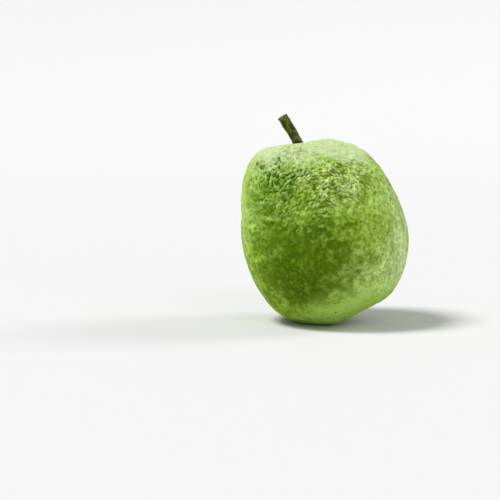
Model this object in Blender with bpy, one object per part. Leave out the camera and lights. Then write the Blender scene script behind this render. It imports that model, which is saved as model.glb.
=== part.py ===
"""A whole guava with its stalk and its dried calyx, resting on a small flat spot.

Metres, +Z up. Sizes below are in millimetres and degrees. The origin is on the surface that
the fruit rests on, under the middle of the box round the whole object. +X is the side that
the stalk leans away from, and -Y is the front.
"""

import math

import bmesh
import bpy
import numpy as np
from mathutils import Matrix, Vector, noise

MM = 0.001

# The fruit's outline, seen from the front: its radius every 20 degrees from the stalk end,
# down the right side to the blossom end and back up the left side.
OUTLINE_RADII = (49.5, 46.5, 45.5, 42, 40, 40.5, 42.5, 44, 44.5, 43.5, 45, 47, 45, 42.5, 41.5, 43, 48, 52)
OUTLINE_WAVES = 7
NOMINAL_RADIUS = 45
CENTRE_HEIGHT = 44.9

# How the fruit lies: its stalk end leans to the left and a little to the back.
LEAN_LEFT = 18
LEAN_BACK = 4

# The hollows at the two ends: place as (angle from the stalk end, angle round it), depth and
# width. Round angles run from the right side, and -90 is the front.
STALK_END = (0, 0)
STALK_HOLLOW_DEPTH = 10
STALK_HOLLOW_WIDTH = 8.5
BLOSSOM_END = (174, 20)
BLOSSOM_HOLLOW_DEPTH = 8
BLOSSOM_HOLLOW_WIDTH = 8.5

# Soft swellings and dips: place, height, and how far each spreads in degrees.
SWELLINGS = (
    ((30, -84), -2.2, 12),
    ((38, -52), -1.3, 12),
    ((60, -82), 1.5, 15),
    ((95, -115), -0.8, 24),
    ((28, 90), -1.2, 20),
    ((70, 100), 0.9, 22),
    ((120, 80), -0.7, 22),
    ((158, -110), 1.4, 14),
    ((160, 120), 0.9, 14),
    ((166, -168), 1.1, 17),
    ((169, -62), -1.3, 9),
    ((155, -8), 0.6, 11),
)

# The wrinkled, knobbly relief of the skin: strongest in a belt below the stalk end's shoulder and
# on the side at PATCH_MIDDLE degrees round the fruit, and gone on a smooth flank and in the hollows.
KNOB_SIZE = 7
KNOB_HEIGHT = 1.25
KNOB_STRETCH = 1.35
BELT_MIDDLE = 54
BELT_SPREAD = 26
PATCH_MIDDLE = -82
PATCH_FADE = 0.55
SMOOTH_FLANK = (50, -162)
SMOOTH_SPREAD = 27
END_CALM = 1.6
FAINT_RELIEF = 0.2
SWAY_SIZE = 22
SWAY_HEIGHT = 0.5
RELIEF_SEED = 4
FRUIT_SEGMENTS = 92
FRUIT_RINGS = 57
RING_CROWDING = 1.12

# The stalk: points on its route from the fruit's centre up, and how thick it is there as a share
# of its radius. It bends to the left, and the edge of its cut is bevelled.
STALK_RADIUS = 2.5
STALK_ROUTE = (
    (-12.2, 2.9, 39.7),
    (-13.3, 2.8, 43.6),
    (-15.3, 2.3, 47.6),
    (-18.2, 1.6, 52.4),
    (-21.4, 0.8, 57.4),
)
STALK_FLARE = (1.2, 1.0, 0.95, 0.97, 1.04)
STALK_STEPS = 6
STALK_CUT_BEVEL = 0.35
STALK_CUT_SHARE = 0.86

# The calyx: a dry disc with five sepals, which lines the blossom end's hollow.
SEPALS = 5
SEPAL_REACH = 8.5
SEPAL_NOTCH = 4.4
SEPAL_POINT = 1.25
SEPAL_CURL = 0.9
CALYX_THICKNESS = 1.0
CALYX_RIM_HEIGHT = 1.3
CALYX_RIM_PLACE = 0.36
CALYX_RIM_WIDTH = 0.1
CALYX_SEGMENTS = 40
CALYX_RINGS = 16
CLEARANCE = 0.45

# Points closer than this, in metres, count as one.
SAME_PLACE = 1e-6


def clear_scene():
    for item in list(bpy.data.objects):
        bpy.data.objects.remove(item, do_unlink=True)


def make_collection(name):
    collection = bpy.data.collections.new(name)
    bpy.context.scene.collection.children.link(collection)
    return collection


def make_material(name, colour, roughness):
    material = bpy.data.materials.new(name)
    material.use_nodes = True
    shader = material.node_tree.nodes["Principled BSDF"]
    shader.inputs["Base Color"].default_value = (*colour, 1)
    shader.inputs["Roughness"].default_value = roughness
    shader.inputs["Metallic"].default_value = 0
    return material


def towards(place):
    """The unit vector of a place, in the fruit's own frame, with the stalk end up."""
    down, round_it = (math.radians(angle) for angle in place)
    across = math.sin(down)
    return Vector((across * math.cos(round_it), across * math.sin(round_it), math.cos(down)))


def bell(direction, place, spread):
    """1 at a place on the fruit, falling off smoothly with the angle from it."""
    return math.exp(-((direction.angle(towards(place)) / math.radians(spread)) ** 2))


def hollow(direction, place, width):
    return bell(direction, place, math.degrees(width / NOMINAL_RADIUS))


def outline_curve():
    """The outline's radius at any angle, as the few smooth waves that pass near OUTLINE_RADII."""
    waves = np.fft.rfft(OUTLINE_RADII)[:OUTLINE_WAVES] / len(OUTLINE_RADII)
    waves[1:] *= 2
    counts = np.arange(OUTLINE_WAVES)
    return lambda angle: float((waves * np.exp(1j * counts * angle)).real.sum())


outline_radius = outline_curve()


def relief(direction):
    """How far the skin's knobs and wrinkles stand out, in millimetres."""
    point = direction * NOMINAL_RADIUS
    point.z *= KNOB_STRETCH
    swept = point + noise.noise_vector(point / SWAY_SIZE) * KNOB_SIZE
    knobs = 0.5 - abs(noise.noise(swept / KNOB_SIZE)) * 2
    down = math.degrees(direction.angle(towards(STALK_END)))
    belt = math.exp(-(((down - BELT_MIDDLE) / BELT_SPREAD) ** 2))
    turned = math.atan2(direction.y, direction.x) - math.radians(PATCH_MIDDLE)
    patch = 1 - PATCH_FADE * (1 - math.cos(turned)) / 2
    strength = belt * patch * (1 - bell(direction, SMOOTH_FLANK, SMOOTH_SPREAD))
    sway = SWAY_HEIGHT * noise.noise(point / SWAY_SIZE)
    return sway + KNOB_HEIGHT * knobs * (FAINT_RELIEF + (1 - FAINT_RELIEF) * strength)


def form_radius(direction):
    """The smooth fruit's radius in a direction of its own frame, in millimetres."""
    down = direction.angle(towards(STALK_END))
    across = math.hypot(direction.x, direction.y)
    rightness = 0.5 + 0.5 * direction.x / across if across > SAME_PLACE else 0.5
    radius = outline_radius(down) * rightness + outline_radius(-down) * (1 - rightness)
    radius -= STALK_HOLLOW_DEPTH * hollow(direction, STALK_END, STALK_HOLLOW_WIDTH)
    radius -= BLOSSOM_HOLLOW_DEPTH * hollow(direction, BLOSSOM_END, BLOSSOM_HOLLOW_WIDTH)
    for place, height, spread in SWELLINGS:
        radius += height * bell(direction, place, spread)
    return radius


def end_calm(direction):
    """0 in the two hollows, where the skin is smooth, and 1 away from them."""
    in_hollows = hollow(direction, STALK_END, STALK_HOLLOW_WIDTH)
    in_hollows += hollow(direction, BLOSSOM_END, BLOSSOM_HOLLOW_WIDTH)
    return max(0.0, 1 - END_CALM * in_hollows)


def skin_radius(direction):
    return form_radius(direction) + relief(direction) * end_calm(direction)


def lie_of_fruit():
    """Turns the fruit's own frame, with the stalk end up, to how it lies."""
    back = Matrix.Rotation(math.radians(-LEAN_BACK), 3, "X")
    left = Matrix.Rotation(math.radians(-LEAN_LEFT), 3, "Y")
    return left @ back


def bend_to_blossom(direction):
    """Slides the mesh's lower pole to the blossom end, so that its rings lie round both hollows."""
    share = (1 - direction.z) / 2
    turn = Vector((0, 0, -1)).rotation_difference(towards(BLOSSOM_END))
    return Matrix.Rotation(turn.angle * share**2, 3, turn.axis) @ direction


def new_object(name, mesh, material, collection):
    mesh.shade_smooth()
    mesh.materials.append(material)
    item = bpy.data.objects.new(name, mesh)
    collection.objects.link(item)
    return item


def ball(name, segments, rings, place_point):
    """A closed mesh made from a unit sphere, each point put where place_point says."""
    mesh = bpy.data.meshes.new(name)
    grid = bmesh.new()
    bmesh.ops.create_uvsphere(grid, u_segments=segments, v_segments=rings, radius=1)
    for vertex in grid.verts:
        vertex.co = place_point(vertex.co.normalized()) * MM
    return mesh, grid


def make_fruit(material, collection):
    lie = lie_of_fruit()

    def on_skin(direction):
        down = math.acos(max(-1, min(1, direction.z)))
        crowded = math.pi * (down / math.pi) ** RING_CROWDING
        around = math.atan2(direction.y, direction.x)
        direction = towards((math.degrees(crowded), math.degrees(around)))
        direction = bend_to_blossom(direction)
        return lie @ (direction * skin_radius(direction)) + Vector((0, 0, CENTRE_HEIGHT))

    mesh, grid = ball("guava_fruit", FRUIT_SEGMENTS, FRUIT_RINGS, on_skin)
    flat_cut(grid)
    grid.to_mesh(mesh)
    grid.free()
    return new_object("guava_fruit", mesh, material, collection)


def flat_cut(grid):
    """Cuts the small flat spot that the fruit rests on, at height 0."""
    everything = grid.verts[:] + grid.edges[:] + grid.faces[:]
    cut = bmesh.ops.bisect_plane(
        grid, geom=everything, dist=SAME_PLACE, plane_co=(0, 0, 0), plane_no=(0, 0, -1), clear_outer=True
    )
    rim = [part for part in cut["geom_cut"] if isinstance(part, bmesh.types.BMEdge)]
    bmesh.ops.contextual_create(grid, geom=rim)
    bmesh.ops.recalc_face_normals(grid, faces=grid.faces[:])


def stalk_point(share):
    """A point of the stalk's smooth route and its radius, from 0 at the base to 1 at the cut."""
    place = share * (len(STALK_ROUTE) - 1)
    first = max(0, min(len(STALK_ROUTE) - 2, int(place)))
    along = place - first
    ends = [max(0, min(len(STALK_ROUTE) - 1, first + step)) for step in (-1, 0, 1, 2)]
    before, start, end, after = (Vector((*STALK_ROUTE[index], STALK_FLARE[index])) for index in ends)
    bend = before - start * 2.5 + end * 2 - after * 0.5
    twist = (start - end) * 1.5 + (after - before) * 0.5
    return start + (end - before) * 0.5 * along + bend * along**2 + twist * along**3


def make_stalk(material, collection):
    count = (len(STALK_ROUTE) - 1) * STALK_STEPS
    points = [stalk_point(step / count) for step in range(count + 1)]
    last = points[-1].copy()
    inwards = (points[-1] - points[-2]).xyz.normalized() * STALK_CUT_BEVEL
    points[-1] = Vector((*(last.xyz - inwards), last.w))
    points.append(Vector((*last.xyz, last.w * STALK_CUT_SHARE)))

    curve = bpy.data.curves.new("stem", "CURVE")
    curve.dimensions = "3D"
    curve.bevel_depth = STALK_RADIUS * MM
    curve.bevel_resolution = 4
    curve.use_fill_caps = True
    route = curve.splines.new("POLY")
    route.points.add(len(points) - 1)
    for point, place in zip(route.points, points):
        height = place.z + CENTRE_HEIGHT
        point.co = (place.x * MM, place.y * MM, height * MM, 1)
        point.radius = place.w
    tube = bpy.data.objects.new("stem_route", curve)
    collection.objects.link(tube)
    return solid_from_curve(tube, "stem", material, collection)


def solid_from_curve(tube, name, material, collection):
    """Turns a capped tube into a closed mesh, and removes the curve."""
    graph = bpy.context.evaluated_depsgraph_get()
    mesh = bpy.data.meshes.new_from_object(tube.evaluated_get(graph))
    mesh.name = name
    grid = bmesh.new()
    grid.from_mesh(mesh)
    bmesh.ops.remove_doubles(grid, verts=grid.verts[:], dist=SAME_PLACE)
    bmesh.ops.recalc_face_normals(grid, faces=grid.faces[:])
    grid.to_mesh(mesh)
    grid.free()
    bpy.data.objects.remove(tube, do_unlink=True)
    mesh.materials.clear()
    return new_object(name, mesh, material, collection)


def sepal_edge(around):
    """How far the calyx reaches from its middle, in millimetres: five pointed sepals."""
    across = abs((around * SEPALS / math.tau) % 1 - 0.5) * 2
    return SEPAL_NOTCH + (SEPAL_REACH - SEPAL_NOTCH) * (1 - (1 - across) ** SEPAL_POINT)


def make_calyx(material, collection):
    lie = lie_of_fruit()
    blossom = towards(BLOSSOM_END)
    turn = Vector((0, 0, 1)).rotation_difference(blossom).to_matrix()

    def on_calyx(direction):
        around = math.atan2(direction.y, direction.x)
        outwards = math.hypot(direction.x, direction.y)
        reach = outwards * sepal_edge(around)
        angle = reach / (NOMINAL_RADIUS - BLOSSOM_HOLLOW_DEPTH)
        place = turn @ towards((math.degrees(angle), math.degrees(around)))
        lift = CLEARANCE
        lift += SEPAL_CURL * max(0, reach - SEPAL_NOTCH) / (SEPAL_REACH - SEPAL_NOTCH)
        if direction.z > 0:
            rim = math.exp(-(((outwards - CALYX_RIM_PLACE) / CALYX_RIM_WIDTH) ** 2))
            lift += CALYX_THICKNESS * math.sqrt(direction.z) + CALYX_RIM_HEIGHT * rim
        return lie @ (place * (form_radius(place) + lift)) + Vector((0, 0, CENTRE_HEIGHT))

    mesh, grid = ball("calyx", CALYX_SEGMENTS, CALYX_RINGS, on_calyx)
    grid.to_mesh(mesh)
    grid.free()
    return new_object("calyx", mesh, material, collection)


def centre_box(items):
    """Moves the meshes so that the middle of the box round them all is above the origin."""
    places = [vertex.co for item in items for vertex in item.data.vertices]
    middle = Vector((0, 0, 0))
    for axis in (0, 1):
        values = [place[axis] for place in places]
        middle[axis] = (min(values) + max(values)) / 2
    for item in items:
        item.data.transform(Matrix.Translation(-middle))


clear_scene()
noise.seed_set(RELIEF_SEED)
guava = make_collection("guava")
skin = make_material("guava_skin", (0.30, 0.48, 0.10), 0.45)
bark = make_material("stalk_bark", (0.08, 0.09, 0.02), 0.7)
husk = make_material("dry_calyx", (0.16, 0.10, 0.05), 0.85)
centre_box([make_fruit(skin, guava), make_stalk(bark, guava), make_calyx(husk, guava)])
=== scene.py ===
"""The looks of a whole guava: its skin, its stalk and its dried calyx, on a pale studio floor."""

import math
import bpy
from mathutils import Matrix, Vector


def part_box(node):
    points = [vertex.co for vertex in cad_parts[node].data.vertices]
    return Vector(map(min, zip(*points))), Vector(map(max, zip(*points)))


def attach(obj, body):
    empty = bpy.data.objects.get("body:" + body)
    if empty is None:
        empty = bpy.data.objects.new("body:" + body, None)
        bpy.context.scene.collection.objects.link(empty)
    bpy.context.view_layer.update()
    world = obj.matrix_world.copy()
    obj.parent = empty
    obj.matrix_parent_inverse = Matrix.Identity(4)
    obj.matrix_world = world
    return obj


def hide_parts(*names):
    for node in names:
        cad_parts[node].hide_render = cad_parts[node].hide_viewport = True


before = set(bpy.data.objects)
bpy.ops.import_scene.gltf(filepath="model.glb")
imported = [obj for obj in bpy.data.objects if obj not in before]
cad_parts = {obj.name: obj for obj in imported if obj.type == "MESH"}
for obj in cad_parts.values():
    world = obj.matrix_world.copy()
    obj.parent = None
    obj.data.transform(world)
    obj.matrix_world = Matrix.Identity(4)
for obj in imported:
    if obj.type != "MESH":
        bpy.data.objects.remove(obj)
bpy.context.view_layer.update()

from types import SimpleNamespace

import bmesh
import bpy
import numpy as np
from mathutils import Matrix, Vector, noise

MM = 0.001

# The fruit's outline, seen from the front: its radius every 20 degrees from the stalk end,
# down the right side to the blossom end and back up the left side. Millimetres and degrees.
OUTLINE_RADII = (49.5, 46.5, 45.5, 42, 40, 40.5, 42.5, 44, 44.5, 43.5, 45, 47, 45, 42.5, 41.5, 43, 48, 52)
OUTLINE_WAVES = 7
NOMINAL_RADIUS = 45
CENTRE_HEIGHT = 44.9
LEAN_LEFT = 18
LEAN_BACK = 4

# Places on the fruit are (angle from the stalk end, angle round it), where the angle round it
# runs from the right side and -90 is the front.
STALK_END = (0, 0)
STALK_HOLLOW = (STALK_END, -10, 8.5)
BLOSSOM_END = (174, 20)
BLOSSOM_HOLLOW = (BLOSSOM_END, -8, 8.5)
SWELLINGS = (
    ((30, -84), -2.2, 12),
    ((38, -52), -1.3, 12),
    ((60, -82), 1.5, 15),
    ((95, -115), -0.8, 24),
    ((28, 90), -1.2, 20),
    ((70, 100), 0.9, 22),
    ((120, 80), -0.7, 22),
    ((158, -110), 1.4, 14),
    ((160, 120), 0.9, 14),
    ((166, -168), 1.1, 17),
    ((169, -62), -1.3, 9),
    ((155, -8), 0.6, 11),
)

# The large relief, which the solids hold too, and the belt where it is strongest.
KNOB_SIZE = 7
KNOB_HEIGHT = 1.25
KNOB_STRETCH = 1.35
BELT_MIDDLE = 54
BELT_SPREAD = 26
PATCH_MIDDLE = -82
PATCH_FADE = 0.55
SMOOTH_FLANK = (50, -162)
SMOOTH_SPREAD = 27
END_CALM = 1.6
FAINT_RELIEF = 0.2
SWAY_SIZE = 22
SWAY_HEIGHT = 0.5

# Blender's vector noise starts at places drawn by chance, which the seed settles.
RELIEF_SEED = 4

# The fine wrinkles: short strokes in arches round a place low on the front.
ARCH_MIDDLE = (98, -84)
WRINKLE_LENGTH = 2.0
WRINKLE_WIDTH = 0.95
WRINKLE_HEIGHT = 1.1
WRINKLE_SWEEP = 0.45
BROAD_WRINKLES = 1.15
FINE_WRINKLES = 0.55
FINER_BY = 1.9

# The soft folds that the wrinkles ride on, and how strong the noise that makes them is on average.
FOLD_SIZE = 5.2
FOLD_HEIGHT = 2.6
FOLD_SWEEP = 0.6
FOLD_SWEEP_SCALE = 0.7
MEAN_NOISE = 0.25

# Where the wrinkles and folds are, as place, spread and strength, and how they thin out in
# clumps and at the belt's frayed edges, in degrees from the stalk end.
WRINKLE_PATCHES = (((56, -92), 45, 0.95), ((42, -116), 25, 1.25), ((60, 60), 34, 0.5), ((56, 130), 34, 0.4))
UPPER_PATCH = ((29, -95), 12, 0.6)
SMOOTH_SHOULDER = ((32, -44), 19, 0.85)
SMOOTH_EDGE = ((54, -6), 26, 0.85)
FAINT_WRINKLES = 0.07
CLUMP_SIZE = 8
CLUMP_MEAN = 0.95
CLUMP_SWING = 0.5
BELT_TOP = (27, 40)
BELT_FOOT = (62, 90)
BELT_FRAY = 16

# Where each relief starts in the noise, so that no two have the same pattern.
CLUMP_START = 20
FOLD_START = 30
FINE_START = 50

# The fruit's mesh, whose points lie closest together in the belt on the front.
FRUIT_SEGMENTS = 384
FRUIT_RINGS = 256
SEGMENT_CROWDING = 0.52
RING_CROWDING = 0.45
CROWDED_RINGS = 65
FLAT_ROUNDING = 0.35

# The segments and rings of the other meshes, of which the guide finds the fruit's box.
GUIDE_MESH = (96, 60)
STALK_MESH = (56, 90)
CALYX_MESH = (200, 60)

# The stalk's route and its thickness along it.
STALK_RADIUS = 2.5
STALK_ROUTE = (
    (-12.2, 2.9, 39.7),
    (-13.3, 2.8, 43.6),
    (-15.3, 2.3, 47.6),
    (-18.2, 1.6, 52.4),
    (-21.4, 0.8, 57.4),
)
STALK_FLARE = (1.2, 1.0, 0.95, 0.97, 1.04)

# The share of the stalk's mesh that closes each end, where in it the cut's edge turns and how
# wide the cut's flat is, how far the cut bulges, and the step that finds the stalk's direction.
STALK_CAP = 0.16
STALK_CORNER = 0.8
STALK_FLAT = 0.93
STALK_DOME = 0.175
STALK_STEP = 0.01

# The bark's grooves, as depth, count and twist, and its lumps.
STALK_GROOVES = ((0.03, 5, 3), (0.024, 9, -5))
STALK_LUMPS = 0.12
STALK_LUMP_ROWS = 7

# The calyx: a dry disc with five sepals, which lines the blossom end's hollow.
SEPALS = 5
SEPAL_REACH = 8.5
SEPAL_NOTCH = 4.4
SEPAL_POINT = 1.25
SEPAL_CURL = 0.9
CALYX_THICKNESS = 1.0
CALYX_RIM_HEIGHT = 1.3
CALYX_RIM_PLACE = 0.36
CALYX_RIM_WIDTH = 0.1
CALYX_CRINKLE = 0.35
CALYX_CRINKLE_SIZE = 1.6
CALYX_EDGE = 0.3
CLEARANCE = 0.45

# The skin's zones: each one's colour, how strongly it shows, its place, and the angles from
# there within which it is full and beyond which it is gone.
SKIN_GREEN = (0.285, 0.445, 0.040)
# The lighter zones on the right side, the lower right and the left flank are partly the skin's yellower
# tone and partly painted light.
SKIN_TONE_AND_LIGHT_ZONES = (
    ((0.325, 0.470, 0.086), 1, (100, -20), 15, 75),
    ((0.300, 0.430, 0.062), 1, (95, 110), 20, 80),
    ((0.470, 0.625, 0.190), 1, (140, -50), 8, 50),
    ((0.370, 0.530, 0.125), 1, (50, -165), 10, 45),
)
# Painted shade: dark zones low on the front and to its left, where shadow and shade fall on the skin; the
# last is a painted highlight where a bulge at the belt's foot catches the light.
SHADE_AND_HIGHLIGHT_ZONES = (
    ((0.120, 0.265, 0.004), 0.5, (66, -124), 5, 36),
    ((0.190, 0.270, 0.014), 0.45, (104, -60), 4, 26),
    ((0.050, 0.105, 0.000), 1, (103, -113), 0, 53),
    ((0.036, 0.085, 0.000), 0.85, (89, -96), 2, 18),
    ((0.036, 0.070, 0.000), 0.5, (119, -117), 2, 20),
    ((0.390, 0.560, 0.085), 0.55, (67, -103), 2, 12),
)
# Painted light and shade on the belt: light zones where its bulges catch the light, dark zones where its
# front turns down from the top.
BELT_LIGHT_AND_SHADE_ZONES = (
    ((0.520, 0.650, 0.190), 0.8, (62, -67), 5, 20),
    ((0.520, 0.650, 0.190), 0.6, (57, -83), 3, 13),
    ((0.470, 0.610, 0.190), 0.8, (47, -97), 3, 13),
    ((0.500, 0.620, 0.260), 0.8, (55, -37), 4, 13),
    ((0.130, 0.290, 0.006), 0.4, (40, -120), 4, 22),
    ((0.130, 0.290, 0.006), 0.65, (47, -60), 3, 13),
    ((0.130, 0.290, 0.006), 0.55, (41, -82), 2, 10),
    ((0.130, 0.290, 0.006), 0.5, (54, -109), 2, 10),
    ((0.170, 0.300, 0.010), 0.4, (74, -81), 2, 11),
)

# Places that the skin's other colours go by, with the same two angles, and with a share where
# several are added up.
# The side where the shade is painted; olive flecks lie within it.
PAINTED_SHADE_SIDE = ((98, -96), 10, 60)
# The underside, where light bounced up from the floor is painted.
UNDERSIDE_BOUNCE = ((164, -95), 12, 42)
MINT_PLACE = ((56, -66), 8, 34)
# Pale streaks on the right side: partly the skin's waxy coat, partly a painted reflection along that edge.
BLOOM_AND_SHEEN_PLACE = ((96, -4), 5, 50)
WAX_AND_SHEEN_PLACE = ((122, -30), 4, 28)
TOP_PLACES = ((1, (13, -90), 14, 35), (1, (27, -8), 6, 34), (0.8, (36, -40), 6, 22))
CALM_PLACES = ((0.8, (160, -95), 14, 46), (0.5, (45, -165), 8, 40), (0.5, (112, -8), 12, 44))

# How far the zones' edges wander with the skin's patterns.
SOFT_EDGE = 0.12
RAGGED_EDGE = 0.28
BLOOM_AND_SHEEN_EDGE = 0.5

# The skin's patterns: the size of each in millimetres, its octaves and its roughness.
CLOUD_NOISE = (11, 3)
PATCH_NOISE = (5.0, 2)
MOTTLE_NOISE = (1.7, 2, 0.6)
GRAIN_NOISE = (0.8, 1)
SPECK_NOISE = (1.7, 0)
STREAK_NOISE = (2.6, 3)
STREAK_STRETCH = (1.0, 1.0, 0.22)
STREAK_DRIFT = 6
STROKE_NOISE = (0.55, 1)

# Colours that follow a pattern: the pattern's values at which each starts and is full, its
# share and its colour.
SUNNY_CLOUDS = (0.48, 0.70, 0.3, (0.370, 0.540, 0.070))
DULL_CLOUDS = (0.50, 0.34, 0.4, (0.130, 0.270, 0.008))
OLIVE_FLECKS = (0.50, 0.66, 0.22, (0.190, 0.260, 0.012))
MINT_PATCHES = (0.46, 0.64, 1, (0.500, 0.640, 0.230))
BELT_PATCHES = (0.48, 0.34, 0.6, (0.105, 0.240, 0.003))
# Pale streaks on the right: partly waxy coat, partly a painted reflection.
BLOOM_AND_SHEEN_STREAKS = (0.36, 0.70, 0.7, (0.480, 0.610, 0.330))
WAX_AND_SHEEN_STREAKS = (0.30, 0.66, 0.4, (0.480, 0.595, 0.390))
BARE_STREAKS = (0.48, 0.32, 0.6, (0.180, 0.290, 0.035))
# Painted shade in the wrinkles' pits and painted highlights on their ridges.
PIT_SHADE = (0.60, 0.14, 0.8, (0.048, 0.140, 0.001))
RIDGE_HIGHLIGHTS = (0.40, 1.15, 0.5, (0.560, 0.700, 0.270))
DARK_PATCHES = (0.52, 0.36, 0.4, (0.150, 0.240, 0.010))
DARK_MOTTLE = (0.52, 0.34, 0.35, (0.120, 0.195, 0.006))
DARK_GRAIN = (0.42, 0.25, 0.4, (0.090, 0.180, 0.004))
DARK_SPECKS = (0.81, 0.86, 0.85, (0.015, 0.035, 0.003))

# The underside's green, lightened to paint light bounced up from the floor, the top's own green, and how
# much mint, relief and light the skin has.
UNDERSIDE_BOUNCE_GREEN = (0.340, 0.525, 0.086)
TOP_GREEN = (0.448, 0.535, 0.282)
TOP_SHARE = 0.92
TOP_CALM = 0.7
BELT_FULLNESS = 1.4
MINT_SHARE = 0.2
MINT_RISE = 0.6
STROKE_RELIEF = 0.8
RIDGE_HIGHLIGHT_CLOUDS = (0.30, 0.62)
SKIN_VALUE = 1.035
LIGHTER_MOTTLE = (0.46, 0.70, 0.34)
DARKER_MOTTLE = (0.52, 0.34, 0.24)

# The stalk's and the dried calyx's patterns and colours, in the same form. The stalk's foot
# darkens between two heights in millimetres.
BARK_PATCH_NOISE = (3.0, 3)
BARK_SPECK_NOISE = (0.7, 2)
BARK_GREEN = (0.036, 0.046, 0.005)
BARK_LIGHT = (0.40, 0.62, 1, (0.120, 0.145, 0.024))
BARK_FOOT = (98, 88, 0.8, (0.012, 0.014, 0.003))
BARK_FOOT_EDGE = 8
BARK_SPECKS = (0.36, 0.24, 0.9, (0.008, 0.010, 0.004))
HUSK_PATCH_NOISE = (2.4, 3)
HUSK_FIBRE_NOISE = (0.5, 2)
HUSK_BROWN = (0.075, 0.048, 0.019)
HUSK_LIGHT = (0.35, 0.65, 1, (0.230, 0.158, 0.068))
HUSK_FIBRES = (0.35, 0.25, 0.8, (0.024, 0.015, 0.007))

# The photograph's view: the pixel where the fruit's centre lies, and the size of a pixel there.
PHOTO_SIDE = 500
FRUIT_PIXEL = (325, 232)
PIXEL_SIZE = 0.5
CAMERA_DISTANCE = 700
CAMERA_ELEVATION = 6
SENSOR_WIDTH = 36

# The studio: a floor with a gently rising rim, in metres, which lies FLOOR_GAP millimetres
# below the fruit, an even sky, and soft parallel lamps, each with the way to it, its width in
# degrees and what a white surface that faces it shows.
FLOOR_FLAT = 1.5
FLOOR_RISE = 4
FLOOR_TURNS = range(4, 41, 4)
FLOOR_SEGMENTS = 96
FLOOR_GAP = 0.2
FLOOR_COLOUR = (0.60, 0.60, 0.60)
SKY = 0.34
LAMPS = (
    ("key", (-0.55, -0.12, 1.0), 20, 1.05),
    ("back", (0.9, 0.30, 0.60), 25, 0.36),
    ("front", (0.45, -1.0, 0.55), 40, 0.18),
)


def towards(place):
    """The unit vector of a place, in the fruit's own frame, with the stalk end up."""
    down, round_it = np.radians(place)
    return np.array([np.sin(down) * np.cos(round_it), np.sin(down) * np.sin(round_it), np.cos(down)])


def angle_from(directions, place):
    return np.arccos(np.clip(directions @ towards(place), -1, 1))


def bell(directions, place, spread):
    """1 at a place on the fruit, falling off smoothly with the angle from it."""
    return np.exp(-((angle_from(directions, place) / math.radians(spread)) ** 2))


def hollow(directions, place, width):
    return bell(directions, place, math.degrees(width / NOMINAL_RADIUS))


def smooth_step(values, low, high):
    share = np.clip((values - low) / (high - low), 0, 1)
    return share * share * (3 - 2 * share)


def outline_radius(angles):
    """The outline's radius, as the few smooth waves that pass near OUTLINE_RADII."""
    waves = np.fft.rfft(OUTLINE_RADII)[:OUTLINE_WAVES] / len(OUTLINE_RADII)
    waves[1:] *= 2
    return sum((wave * np.exp(1j * count * angles)).real for count, wave in enumerate(waves))


def noise_at(points):
    return np.array([noise.noise(point) for point in points.tolist()])


def noise_vectors_at(points):
    return np.array([noise.noise_vector(point) for point in points.tolist()])


def unit_rows(vectors):
    return vectors / np.maximum(np.linalg.norm(vectors, axis=1)[:, None], 1e-6)


def form_radius(directions):
    """The smooth fruit's radius in directions of its own frame, in millimetres."""
    down = angle_from(directions, STALK_END)
    across = np.maximum(np.hypot(directions[:, 0], directions[:, 1]), 1e-6)
    rightness = 0.5 + 0.5 * directions[:, 0] / across
    radius = outline_radius(down) * rightness + outline_radius(-down) * (1 - rightness)
    for place, height, width in (STALK_HOLLOW, BLOSSOM_HOLLOW):
        radius += height * hollow(directions, place, width)
    for place, height, spread in SWELLINGS:
        radius += height * bell(directions, place, spread)
    return radius


def patch_share(directions):
    """How much of the belt's relief there is on each side, with none on the smooth flank."""
    turned = np.arctan2(directions[:, 1], directions[:, 0]) - math.radians(PATCH_MIDDLE)
    share = 1 - PATCH_FADE * (1 - np.cos(turned)) / 2
    return share * (1 - bell(directions, SMOOTH_FLANK, SMOOTH_SPREAD))


def knobs(directions):
    """The large relief in millimetres."""
    points = directions * NOMINAL_RADIUS
    swept = points * (1, 1, KNOB_STRETCH)
    sway_points = swept / SWAY_SIZE
    swept = swept + noise_vectors_at(sway_points) * KNOB_SIZE
    heights = 0.5 - np.abs(noise_at(swept / KNOB_SIZE)) * 2
    down = np.degrees(angle_from(directions, STALK_END))
    strength = np.exp(-(((down - BELT_MIDDLE) / BELT_SPREAD) ** 2)) * patch_share(directions)
    strength *= 1 - patch(directions, *SMOOTH_EDGE)
    sway = SWAY_HEIGHT * noise_at(sway_points)
    return sway + KNOB_HEIGHT * heights * (FAINT_RELIEF + (1 - FAINT_RELIEF) * strength)


def arch_points(directions):
    """Points where distances along the arches are counted shorter than those across them."""
    middle = towards(ARCH_MIDDLE)
    away = angle_from(directions, ARCH_MIDDLE)[:, None]
    sideways = unit_rows(directions - (directions @ middle)[:, None] * middle)
    return NOMINAL_RADIUS * (sideways * away / WRINKLE_LENGTH + middle * away / WRINKLE_WIDTH)


def wrinkles(directions):
    """The fine relief, from 0 in its pits to 1 on its ridges."""
    sweep = noise_vectors_at(directions * NOMINAL_RADIUS / CLUMP_SIZE)
    swept = arch_points(directions) + WRINKLE_SWEEP * sweep
    broad = BROAD_WRINKLES * noise_at(swept)
    fine = FINE_WRINKLES * noise_at(swept * FINER_BY + FINE_START)
    return np.clip(0.5 + broad + fine, 0, 1)


def folds(directions):
    """The soft folds that the wrinkles ride on, about 0, in millimetres."""
    points = directions * NOMINAL_RADIUS / FOLD_SIZE
    swept = points + FOLD_SWEEP * noise_vectors_at(points * FOLD_SWEEP_SCALE) + FOLD_START
    return FOLD_HEIGHT * (MEAN_NOISE - np.abs(noise_at(swept)))


def patch(directions, place, spread, share):
    """A share over a patch of the fruit, which ends within a short way."""
    return share * np.exp(-((angle_from(directions, place) / math.radians(spread)) ** 4))


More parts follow.
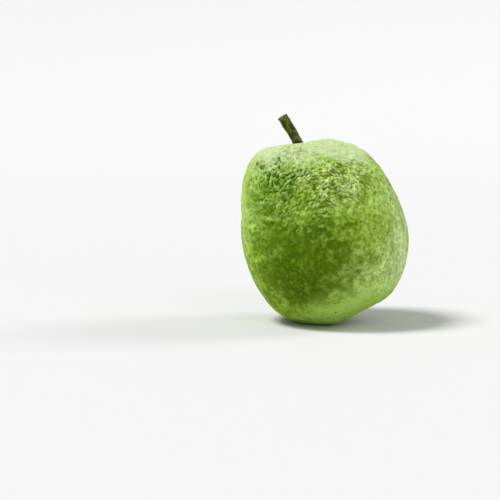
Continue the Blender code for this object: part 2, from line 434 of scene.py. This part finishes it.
def wrinkle_strength(directions):
    """Where the fine wrinkles are: in the belt, which frays out at its edges."""
    down = np.degrees(angle_from(directions, STALK_END))
    clumps = noise_at(directions * NOMINAL_RADIUS / CLUMP_SIZE + CLUMP_START)
    down = down + BELT_FRAY * clumps
    belt = smooth_step(down, *BELT_TOP) * (1 - smooth_step(down, *BELT_FOOT))
    share = belt * np.max([patch(directions, *each) for each in WRINKLE_PATCHES], axis=0)
    share = np.maximum(share, patch(directions, *UPPER_PATCH)) * (CLUMP_MEAN + CLUMP_SWING * clumps)
    share *= 1 - patch(directions, *SMOOTH_SHOULDER)
    return FAINT_WRINKLES + (1 - FAINT_WRINKLES) * share


def end_calm(directions):
    """0 in the two hollows, where the skin is smooth, and 1 away from them."""
    in_hollows = sum(hollow(directions, place, width) for place, _, width in (STALK_HOLLOW, BLOSSOM_HOLLOW))
    return np.maximum(0, 1 - END_CALM * in_hollows)


def lie_of_fruit():
    """Turns the fruit's own frame to how it lies."""
    back = Matrix.Rotation(math.radians(-LEAN_BACK), 3, "X")
    left = Matrix.Rotation(math.radians(-LEAN_LEFT), 3, "Y")
    return np.array(left @ back)


LIE = lie_of_fruit()


def lay(points, shift):
    """Points of the fruit's own frame, in millimetres, put where it lies in the frame, in metres."""
    return ((points @ LIE.T) + (0, 0, CENTRE_HEIGHT)) * MM + shift


def even_angles(segments, rings):
    """Angles from the pole and round it for the rings and segments of an evenly spaced ball."""
    return np.arange(1, rings) * math.pi / rings, np.arange(segments) * math.tau / segments


def ball(name, downs, rounds):
    """A closed mesh like a globe, with rings and segments at given angles, and its unit points."""
    down, round_it = (grid.ravel() for grid in np.meshgrid(downs, rounds, indexing="ij"))
    points = np.c_[np.sin(down) * np.cos(round_it), np.sin(down) * np.sin(round_it), np.cos(down)]
    points = np.r_[[(0, 0, 1)], points, [(0, 0, -1)]]
    here = 1 + np.arange(len(down)).reshape(len(downs), len(rounds))
    beside = np.roll(here, -1, axis=1)
    quads = np.stack([here[:-1], here[1:], beside[1:], beside[:-1]], axis=-1).reshape(-1, 4)
    first = np.stack([here[0] * 0, here[0], beside[0]], axis=-1)
    last = np.stack([beside[-1], here[-1], here[-1] * 0 + len(points) - 1], axis=-1)
    mesh = bpy.data.meshes.new(name)
    mesh.from_pydata(points.tolist(), [], quads.tolist() + first.tolist() + last.tolist())
    return mesh, points


def bend_to_blossom(directions):
    """Slides the mesh's lower pole to the blossom end, so that its rings lie round both hollows."""
    turn = Vector((0, 0, -1)).rotation_difference(Vector(towards(BLOSSOM_END)))
    axis = np.array(turn.axis)
    angles = turn.angle * ((1 - directions[:, 2]) / 2)[:, None] ** 2
    along = axis * (directions @ axis)[:, None]
    return along + (directions - along) * np.cos(angles) + np.cross(axis, directions) * np.sin(angles)


def add_piece(name, mesh, node, finish):
    mesh.shade_smooth()
    mesh.materials.append(finish)
    piece = bpy.data.objects.new(name, mesh)
    bpy.context.scene.collection.objects.link(piece)
    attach(piece, "root")
    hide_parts(node)


def frame_shift():
    """How far the fruit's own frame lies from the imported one: the solid's box has the same middle."""
    directions = bend_to_blossom(ball("guide", *even_angles(*GUIDE_MESH))[1])
    radius = form_radius(directions) + knobs(directions) * end_calm(directions)
    points = lay(directions * radius[:, None], 0)
    low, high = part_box("guava_fruit")
    middle = (points.min(0) + points.max(0)) / 2
    return np.array([(low.x + high.x) / 2 - middle[0], (low.y + high.y) / 2 - middle[1], 0])


def fruit_angles():
    """The fruit's rings and segments, closest together in the belt on the front."""
    rings, rounds = even_angles(FRUIT_SEGMENTS, FRUIT_RINGS)
    crowded = math.radians(CROWDED_RINGS)
    rings = rings - RING_CROWDING * (np.sin(2 * (rings - crowded)) + math.sin(2 * crowded)) / 2
    return rings, rounds - SEGMENT_CROWDING * np.sin(rounds - math.radians(PATCH_MIDDLE))


def make_fruit(shift, finish):
    mesh, directions = ball("fruit_skin", *fruit_angles())
    directions = bend_to_blossom(directions)
    ridges = wrinkles(directions)
    calm = end_calm(directions)
    strength = calm * wrinkle_strength(directions)
    radius = form_radius(directions) + knobs(directions) * calm
    radius += (WRINKLE_HEIGHT * (ridges - 0.5) + folds(directions)) * strength
    points = lay(directions * radius[:, None], shift)
    rounding = FLAT_ROUNDING * MM
    heights = points[:, 2]
    points[:, 2] = np.where(heights < rounding, rounding * np.exp(heights / rounding - 1), heights)
    mesh.vertices.foreach_set("co", points.ravel())
    for name, values in (("ridge", ridges), ("wrinkled", strength)):
        mesh.attributes.new(name, "FLOAT", "POINT").data.foreach_set("value", values.astype(np.float32))
    add_piece("fruit_skin", mesh, "guava_fruit", finish)


class Socket:
    """An output of a node, on which sums add the nodes that work them out."""

    def __init__(self, finish, socket):
        self.finish = finish
        self.socket = socket

    def __add__(self, other):
        return self.finish.maths("ADD", self, other)

    def __sub__(self, other):
        return self.finish.maths("SUBTRACT", self, other)

    def __rsub__(self, other):
        return self.finish.maths("SUBTRACT", other, self)

    def __mul__(self, other):
        return self.finish.maths("MULTIPLY", self, other)

    def __truediv__(self, other):
        return self.finish.maths("DIVIDE", self, other)

    __radd__ = __add__
    __rmul__ = __mul__


class Finish:
    """A material, with its Principled shader and the nodes that feed it."""

    def __init__(self, name):
        self.material = bpy.data.materials.new(name)
        self.material.use_nodes = True
        self.tree = self.material.node_tree
        self.shader = self.tree.nodes["Principled BSDF"]

    def put(self, socket, value):
        if isinstance(value, Socket):
            self.tree.links.new(value.socket, socket)
        elif isinstance(value, tuple) and len(value) == 3 and socket.type == "RGBA":
            socket.default_value = (*value, 1)
        else:
            socket.default_value = value

    def node(self, kind, settings=None, inputs=None, output=0):
        made = self.tree.nodes.new("ShaderNode" + kind)
        for name, value in (settings or {}).items():
            setattr(made, name, value)
        for name, value in (inputs or {}).items():
            self.put(made.inputs[name], value)
        return Socket(self, made.outputs[output])

    def maths(self, operation, first, second=0.0):
        """A Vector Math node where either value is a vector, and else a Math node."""
        sockets = [value.socket for value in (first, second) if isinstance(value, Socket)]
        if not any(socket.type == "VECTOR" for socket in sockets):
            return self.node("Math", {"operation": operation}, {0: first, 1: second})
        if operation == "MULTIPLY" and not isinstance(second, tuple):
            return self.node("VectorMath", {"operation": "SCALE"}, {0: first, "Scale": second})
        return self.node("VectorMath", {"operation": operation}, {0: first, 1: second})

    def dot(self, first, second):
        return self.node("VectorMath", {"operation": "DOT_PRODUCT"}, {0: first, 1: second}, "Value")

    def unit(self, vector):
        return self.node("VectorMath", {"operation": "NORMALIZE"}, {0: vector})

    def clamped(self, value):
        return self.node("Clamp", inputs={"Value": value})

    def step(self, value, low, high):
        """0 below low and 1 above high, with a smooth rise between."""
        settings = {"interpolation_type": "SMOOTHSTEP"}
        return self.node("MapRange", settings, {"Value": value, "From Min": low, "From Max": high})

    def blend(self, share, first, second):
        """The first colour, with a share of the second over it."""
        inputs = {0: share, 6: first, 7: second}
        return self.node("Mix", {"data_type": "RGBA"}, inputs, 2)

    def noise(self, place, size, detail=2.0, roughness=0.5):
        inputs = {"Vector": place, "Scale": 1 / size, "Detail": detail, "Roughness": roughness}
        return self.node("TexNoise", inputs=inputs)

    def vector(self, value):
        return self.node("CombineXYZ", inputs=dict(zip("XYZ", value)))

    def place(self):
        """The place on the piece, in metres."""
        return self.node("TexCoord", output="Object")

    def attribute(self, name):
        return self.node("Attribute", {"attribute_name": name}, output="Fac")

    def shade(self, **values):
        for name, value in values.items():
            self.put(self.shader.inputs[name.replace("_", " ")], value)

    def bump(self, height, distance):
        """Fine relief whose height of 1 stands for a distance in millimetres."""
        inputs = {"Height": height, "Distance": distance * MM, "Strength": 1.0}
        self.put(self.shader.inputs["Normal"], self.node("Bump", inputs=inputs))


def own_place(finish, shift):
    """The place on the fruit in its own frame, in millimetres, with the stalk end up."""
    centre = shift + np.array([0, 0, CENTRE_HEIGHT * MM])
    place = (finish.place() - tuple(centre)) * (1 / MM)
    inputs = {"Vector": place, "Rotation": tuple(Matrix(LIE.T).to_euler())}
    return finish.node("VectorRotate", {"rotation_type": "EULER_XYZ"}, inputs)


def near(finish, facing, place, inner, outer):
    """1 within an angle of a place on the fruit, and 0 beyond a wider one."""
    along = finish.dot(facing, tuple(towards(place)))
    return finish.step(along, math.cos(math.radians(outer)), math.cos(math.radians(inner)))


def near_any(finish, facing, places):
    """The shares of several places, added up to 1 at most."""
    return finish.clamped(sum(share * near(finish, facing, *place) for share, *place in places))


def arch_place(finish, facing):
    """The fine wrinkles' own place, where ways along the arches count shorter than across them."""
    middle = finish.vector(towards(ARCH_MIDDLE))
    along = finish.dot(facing, middle)
    away = finish.maths("ARCCOSINE", along) * NOMINAL_RADIUS
    sideways = finish.unit(facing - middle * along)
    return sideways * (away / WRINKLE_LENGTH) + middle * (away / WRINKLE_WIDTH)


def skin_patterns(finish, shift):
    """What the skin's colours go by: the way a point faces, its relief and the uneven patterns."""
    place = own_place(finish, shift)
    facing = finish.unit(place)
    skin = SimpleNamespace()
    skin.ridge = finish.attribute("ridge")
    skin.wrinkled = finish.attribute("wrinkled")
    skin.strokes = finish.noise(arch_place(finish, facing), *STROKE_NOISE)
    skin.clouds = finish.noise(place, *CLOUD_NOISE)
    skin.patches = finish.noise(place, *PATCH_NOISE)
    skin.mottle = finish.noise(place, *MOTTLE_NOISE)
    skin.grain = finish.noise(place, *GRAIN_NOISE)
    skin.specks = finish.noise(place, *SPECK_NOISE)
    drift = (skin.clouds - 0.5) * STREAK_DRIFT
    skin.streaks = finish.noise(place * STREAK_STRETCH + drift, *STREAK_NOISE)
    skin.facing = facing + (skin.clouds - 0.5) * SOFT_EDGE
    skin.ragged = skin.facing + (skin.patches - 0.5) * RAGGED_EDGE
    return skin


def paint_zones(finish, colour_under, facing, zones, within=1):
    """A colour with each zone's own colour over it, round the zone's place."""
    for colour, share, place, inner, outer in zones:
        mask = near(finish, facing, place, inner, outer) * within * share
        colour_under = finish.blend(mask, colour_under, colour)
    return colour_under


def paint_pattern(finish, colour_under, pattern, layer, within=1):
    """A colour with another over it, where a pattern passes the layer's values."""
    start, full, share, colour = layer
    return finish.blend(finish.step(pattern, start, full) * within * share, colour_under, colour)


def skin_greens(finish, skin):
    """The greens of the whole skin: its zones, some of them painted light and shade, with broad clouds in
    them, and its underside, lightened with painted bounce light.
    """
    green = paint_zones(finish, SKIN_GREEN, skin.facing, SKIN_TONE_AND_LIGHT_ZONES)
    green = paint_pattern(finish, green, skin.clouds, SUNNY_CLOUDS)
    green = paint_pattern(finish, green, skin.clouds, DULL_CLOUDS)
    # Painted shade low on the front, with one painted highlight.
    green = paint_zones(finish, green, skin.ragged, SHADE_AND_HIGHLIGHT_ZONES)
    # Olive flecks within the painted shade.
    painted_shade = near(finish, skin.ragged, *PAINTED_SHADE_SIDE)
    green = paint_pattern(finish, green, skin.patches, OLIVE_FLECKS, painted_shade)
    return finish.blend(near(finish, skin.facing, *UNDERSIDE_BOUNCE), green, UNDERSIDE_BOUNCE_GREEN)


def belt_greens(finish, skin, green):
    """The wrinkled belt's zones of painted light and shade, and its mint and its dark patches."""
    belt = finish.clamped(skin.wrinkled * BELT_FULLNESS)
    green = paint_zones(finish, green, skin.facing, BELT_LIGHT_AND_SHADE_ZONES, belt)
    mint = MINT_SHARE + near(finish, skin.facing, *MINT_PLACE) * MINT_RISE
    green = paint_pattern(finish, green, skin.patches, MINT_PATCHES, belt * mint)
    return paint_pattern(finish, green, skin.patches, BELT_PATCHES, belt)


def pale_greens(finish, skin, green, top):
    """The pale top, and pale streaks on the right side: partly the skin's waxy coat and partly a painted
    reflection of the bright studio along that edge.
    """
    green = finish.blend(top * TOP_SHARE, green, TOP_GREEN)
    bloom_and_sheen = near(finish, skin.facing + (skin.patches - 0.5) * BLOOM_AND_SHEEN_EDGE, *BLOOM_AND_SHEEN_PLACE)
    green = paint_pattern(finish, green, skin.streaks, BLOOM_AND_SHEEN_STREAKS, bloom_and_sheen)
    wax_and_sheen = near(finish, skin.ragged, *WAX_AND_SHEEN_PLACE)
    green = paint_pattern(finish, green, skin.streaks, WAX_AND_SHEEN_STREAKS, wax_and_sheen)
    return paint_pattern(finish, green, skin.streaks, BARE_STREAKS, bloom_and_sheen)


def relief_greens(finish, skin, green):
    """Painted shade in the wrinkles' pits and painted highlights on their ridges."""
    relief = skin.ridge + (skin.strokes - 0.5) * STROKE_RELIEF
    green = paint_pattern(finish, green, relief, PIT_SHADE, skin.wrinkled)
    ridge_highlight = skin.wrinkled * finish.step(skin.clouds, *RIDGE_HIGHLIGHT_CLOUDS)
    return paint_pattern(finish, green, relief, RIDGE_HIGHLIGHTS, ridge_highlight)


def uneven_greens(finish, skin, green, top):
    """The fine mottling, which fades out on the calm parts of the skin, and a few dark specks."""
    calm = near_any(finish, skin.facing, CALM_PLACES)
    uneven = (1 - top * TOP_CALM) * (1 - calm)
    green = paint_pattern(finish, green, skin.patches, DARK_PATCHES, uneven)
    green = paint_pattern(finish, green, skin.mottle, DARK_MOTTLE, uneven)
    green = paint_pattern(finish, green, skin.grain, DARK_GRAIN, uneven)
    green = paint_pattern(finish, green, skin.specks, DARK_SPECKS)
    (*light, rise), (*dark, fall) = LIGHTER_MOTTLE, DARKER_MOTTLE
    lighter = finish.step(skin.mottle, *light) * rise - finish.step(skin.mottle, *dark) * fall
    inputs = {"Value": SKIN_VALUE + uneven * lighter, "Color": green}
    return finish.node("HueSaturation", inputs=inputs)


def skin_finish(shift):
    finish = Finish("guava_skin")
    skin = skin_patterns(finish, shift)
    top = near_any(finish, skin.facing, TOP_PLACES)
    green = skin_greens(finish, skin)
    green = belt_greens(finish, skin, green)
    green = pale_greens(finish, skin, green, top)
    green = relief_greens(finish, skin, green)
    green = uneven_greens(finish, skin, green, top)
    finish.shade(Base_Color=green, Roughness=0.5 + 0.2 * skin.mottle, Specular_IOR_Level=0.02)
    finish.bump(skin.mottle * 0.3 + skin.grain * 0.15 + skin.wrinkled * skin.strokes, 0.6)
    return finish.material


def stalk_finish():
    finish = Finish("stalk_bark")
    place = finish.place() * (1 / MM)
    patches = finish.noise(place, *BARK_PATCH_NOISE)
    specks = finish.noise(place, *BARK_SPECK_NOISE)
    height = finish.node("SeparateXYZ", inputs={0: place}, output="Z")
    bark = paint_pattern(finish, BARK_GREEN, patches, BARK_LIGHT)
    bark = paint_pattern(finish, bark, height + patches * BARK_FOOT_EDGE, BARK_FOOT)
    bark = paint_pattern(finish, bark, specks, BARK_SPECKS)
    finish.shade(Base_Color=bark, Roughness=0.72, Specular_IOR_Level=0.15)
    finish.bump(patches + specks * 0.5, 0.4)
    return finish.material


def calyx_finish():
    finish = Finish("dry_calyx")
    place = finish.place() * (1 / MM)
    patches = finish.noise(place, *HUSK_PATCH_NOISE)
    fibres = finish.noise(place, *HUSK_FIBRE_NOISE)
    husk = paint_pattern(finish, HUSK_BROWN, patches, HUSK_LIGHT)
    husk = paint_pattern(finish, husk, fibres, HUSK_FIBRES)
    finish.shade(Base_Color=husk, Roughness=0.85, Specular_IOR_Level=0.1)
    finish.bump(patches + fibres * 0.6, 0.3)
    return finish.material


def curve_points(route, shares):
    """Points along a smooth curve through the rows of route, from 0 at its start to 1 at its end."""
    places = shares * (len(route) - 1)
    first = np.clip(places.astype(int), 0, len(route) - 2)
    along = (places - first)[:, None]
    before, start, end, after = (route[np.clip(first + step, 0, len(route) - 1)] for step in (-1, 0, 1, 2))
    bend = before - start * 2.5 + end * 2 - after * 0.5
    twist = (start - end) * 1.5 + (after - before) * 0.5
    return start + (end - before) * 0.5 * along + bend * along**2 + twist * along**3


def stalk_ways(route, shares):
    """The way that the stalk runs at each share of its route, and the two ways across it."""
    beyond = curve_points(route, np.minimum(shares + STALK_STEP, 1))
    behind = curve_points(route, np.maximum(shares - STALK_STEP, 0))
    ahead = unit_rows((beyond - behind)[:, :3])
    side = unit_rows(np.cross((0.0, 1.0, 0.0), ahead))
    return ahead, side, np.cross(ahead, side)


def cut_edge(inwards):
    """The stalk's width over a cut end, from 0 in the cut's middle to 1 past its rounded edge."""
    flat = inwards / STALK_CORNER * STALK_FLAT
    turn = (inwards - STALK_CORNER) / (1 - STALK_CORNER) * math.pi / 2
    return np.where(inwards < STALK_CORNER, flat, STALK_FLAT + (1 - STALK_FLAT) * np.sin(turn))


def make_stalk(shift, finish):
    mesh, directions = ball("stalk", *even_angles(*STALK_MESH))
    route = np.array([(*place, flare) for place, flare in zip(STALK_ROUTE, STALK_FLARE)])
    down = np.arccos(np.clip(directions[:, 2], -1, 1)) / math.pi
    shares = np.clip((1 - down - STALK_CAP) / (1 - 2 * STALK_CAP), 0, 1)
    inwards = np.clip(np.minimum(down, 1 - down) / STALK_CAP, 0, 1)
    spine = curve_points(route, shares)
    ahead, side, front = stalk_ways(route, shares)
    around = np.arctan2(directions[:, 1], directions[:, 0])
    grooves = sum(depth * np.cos(count * around + twist * shares) for depth, count, twist in STALK_GROOVES)
    lumps = STALK_LUMPS * noise_at(np.c_[np.cos(around), np.sin(around), shares * STALK_LUMP_ROWS])
    radius = STALK_RADIUS * spine[:, 3] * cut_edge(inwards) * (1 + grooves + lumps)
    dome = STALK_DOME * np.sqrt(1 - inwards) * np.sign(0.5 - down)
    offsets = side * (radius * np.cos(around))[:, None] + front * (radius * np.sin(around))[:, None]
    points = spine[:, :3] + offsets + ahead * dome[:, None]
    mesh.vertices.foreach_set("co", ((points + (0, 0, CENTRE_HEIGHT)) * MM + shift).ravel())
    add_piece("stalk", mesh, "stem", finish)


def sepal_edge(around):
    """How far the calyx reaches from its middle: five pointed sepals."""
    across = np.abs((around * SEPALS / math.tau) % 1 - 0.5) * 2
    return SEPAL_NOTCH + (SEPAL_REACH - SEPAL_NOTCH) * (1 - (1 - across) ** SEPAL_POINT)


def make_calyx(shift, finish):
    mesh, directions = ball("calyx_crown", *even_angles(*CALYX_MESH))
    turn = np.array(Vector((0, 0, 1)).rotation_difference(Vector(towards(BLOSSOM_END))).to_matrix())
    around = np.arctan2(directions[:, 1], directions[:, 0])
    outwards = np.hypot(directions[:, 0], directions[:, 1])
    reach = outwards * sepal_edge(around)
    angle = reach / (NOMINAL_RADIUS + BLOSSOM_HOLLOW[1])
    places = np.c_[np.sin(angle) * np.cos(around), np.sin(angle) * np.sin(around), np.cos(angle)] @ turn.T
    lift = CLEARANCE + SEPAL_CURL * np.maximum(0, reach - SEPAL_NOTCH) / (SEPAL_REACH - SEPAL_NOTCH)
    height = np.abs(directions[:, 2])
    rim = np.exp(-(((outwards - CALYX_RIM_PLACE) / CALYX_RIM_WIDTH) ** 2))
    crinkle = CALYX_CRINKLE * noise_at(places * NOMINAL_RADIUS / CALYX_CRINKLE_SIZE)
    crinkle *= smooth_step(height, 0, CALYX_EDGE)
    upper = CALYX_THICKNESS * np.sqrt(height) + CALYX_RIM_HEIGHT * rim + crinkle
    lift += np.where(directions[:, 2] > 0, upper, 0)
    points = lay(places * (form_radius(places) + lift)[:, None], shift)
    mesh.vertices.foreach_set("co", points.ravel())
    add_piece("calyx_crown", mesh, "calyx", finish)


def make_floor():
    """A pale floor whose far rim curves up, so that no edge of it shows."""
    profile = [(0.0, 0.0), (FLOOR_FLAT, 0.0)]
    for turn in np.radians(FLOOR_TURNS):
        profile.append((FLOOR_FLAT + FLOOR_RISE * math.sin(turn), FLOOR_RISE * (1 - math.cos(turn))))
    grid = bmesh.new()
    for radius, height in profile:
        grid.verts.new((radius, 0, height))
    grid.verts.ensure_lookup_table()
    edges = [grid.edges.new(pair) for pair in zip(grid.verts[:-1], grid.verts[1:])]
    circle = {"axis": (0, 0, 1), "cent": (0, 0, 0), "angle": math.tau, "steps": FLOOR_SEGMENTS}
    bmesh.ops.spin(grid, geom=grid.verts[:] + edges, **circle)
    bmesh.ops.remove_doubles(grid, verts=grid.verts[:], dist=1e-5)
    mesh = bpy.data.meshes.new("studio_floor")
    grid.to_mesh(mesh)
    grid.free()
    mesh.shade_smooth()
    finish = Finish("studio_floor")
    finish.shade(Base_Color=FLOOR_COLOUR, Roughness=0.9)
    mesh.materials.append(finish.material)
    floor = bpy.data.objects.new("studio_floor", mesh)
    floor.location.z = -FLOOR_GAP * MM
    bpy.context.scene.collection.objects.link(floor)


def add_lamp(name, way, width, brightness):
    light = bpy.data.lights.new(name, "SUN")
    light.angle = math.radians(width)
    light.energy = brightness * math.pi
    lamp = bpy.data.objects.new(name, light)
    lamp.location = way
    lamp.rotation_euler = Vector(way).to_track_quat("Z", "Y").to_euler()
    bpy.context.scene.collection.objects.link(lamp)


def light_studio():
    world = bpy.data.worlds.new("studio")
    bpy.context.scene.world = world
    world.use_nodes = True
    background = world.node_tree.nodes["Background"]
    background.inputs["Color"].default_value = (1, 1, 1, 1)
    background.inputs["Strength"].default_value = SKY
    for lamp in LAMPS:
        add_lamp(*lamp)
    bpy.context.scene.view_settings.view_transform = "Standard"


def place_camera(shift):
    """Puts the fruit's centre on its pixel of the photograph, with a level horizon."""
    distance = CAMERA_DISTANCE * MM
    side = PHOTO_SIDE * PIXEL_SIZE * MM
    lens = bpy.data.cameras.new("camera")
    lens.sensor_width = SENSOR_WIDTH
    lens.lens = lens.sensor_width * distance / side
    camera = bpy.data.objects.new("camera", lens)
    elevation = math.radians(CAMERA_ELEVATION)
    towards_fruit = Vector((0, math.cos(elevation), -math.sin(elevation)))
    up = Vector((0, math.sin(elevation), math.cos(elevation)))
    right = Vector((1, 0, 0))
    fruit = Vector(shift) + Vector((0, 0, CENTRE_HEIGHT * MM))
    across, down = (pixel - PHOTO_SIDE / 2 for pixel in FRUIT_PIXEL)
    aim = fruit - right * across * PIXEL_SIZE * MM + up * down * PIXEL_SIZE * MM
    camera.location = aim - towards_fruit * distance
    camera.rotation_euler = (math.pi / 2 - elevation, 0, 0)
    bpy.context.scene.collection.objects.link(camera)
    bpy.context.scene.camera = camera


noise.seed_set(RELIEF_SEED)
shift = frame_shift()
place_camera(shift)
light_studio()
make_floor()
make_fruit(shift, skin_finish(shift))
make_stalk(shift, stalk_finish())
make_calyx(shift, calyx_finish())
